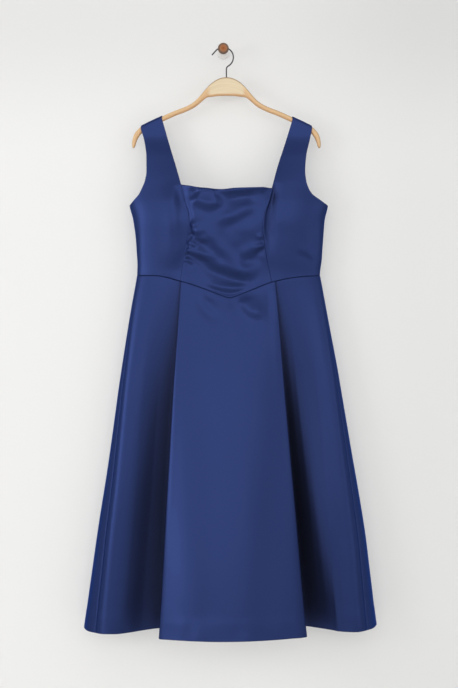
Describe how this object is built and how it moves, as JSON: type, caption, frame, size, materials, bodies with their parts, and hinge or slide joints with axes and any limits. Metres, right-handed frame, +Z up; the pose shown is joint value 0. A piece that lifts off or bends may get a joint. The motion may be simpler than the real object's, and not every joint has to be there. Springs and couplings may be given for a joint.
{
  "type": "satin midi dress on a wooden hanger and wall peg",
  "caption": "Fit-and-flare satin midi dress with square neck, wide straps, draped front and pleated skirt, hung by a wooden hanger from a wall peg.",
  "frame": {"origin": "middle of the wall peg's back face, on the wall", "axes": "+X to the right of someone who faces the wall, +Y into the wall, +Z up"},
  "size_m": [0.671, 0.2043, 1.3391],
  "materials": {
    "satin": "navy duchess satin, soft sheen",
    "zip_tape": "woven zip tape and nylon coil in navy",
    "zip_metal": "enamelled in navy",
    "hanger_wood": "pale clear-lacquered wood",
    "hook_steel": "plated steel wire",
    "peg_paint": "white",
    "peg_wood": "oiled brown wood"
  },
  "bodies": {
    "dress": {"bodice_center_front": "satin", "bodice_side_front_left": "satin", "bodice_side_front_right": "satin", "bodice_side_back_left": "satin", "bodice_side_back_right": "satin", "bodice_center_back_left": "satin", "bodice_center_back_right": "satin", "skirt_front": "satin", "skirt_back_left": "satin", "skirt_back_right": "satin", "zip_chain": "zip_tape", "zip_slider": "zip_metal", "hanger_body": "hanger_wood", "hanger_hook": "hook_steel", "peg_base": "peg_paint", "peg_cap": "peg_wood"},
    "zip_pull": {"zip_pull": "zip_metal"}
  },
  "joints": [
    {"name": "zip_pull_hinge", "type": "hinge", "parent": "dress", "child": "zip_pull", "pos_m": [0.012, -0.0075, -0.362], "axis": [1, 0, 0], "range_deg": [0, 150]}
  ]
}
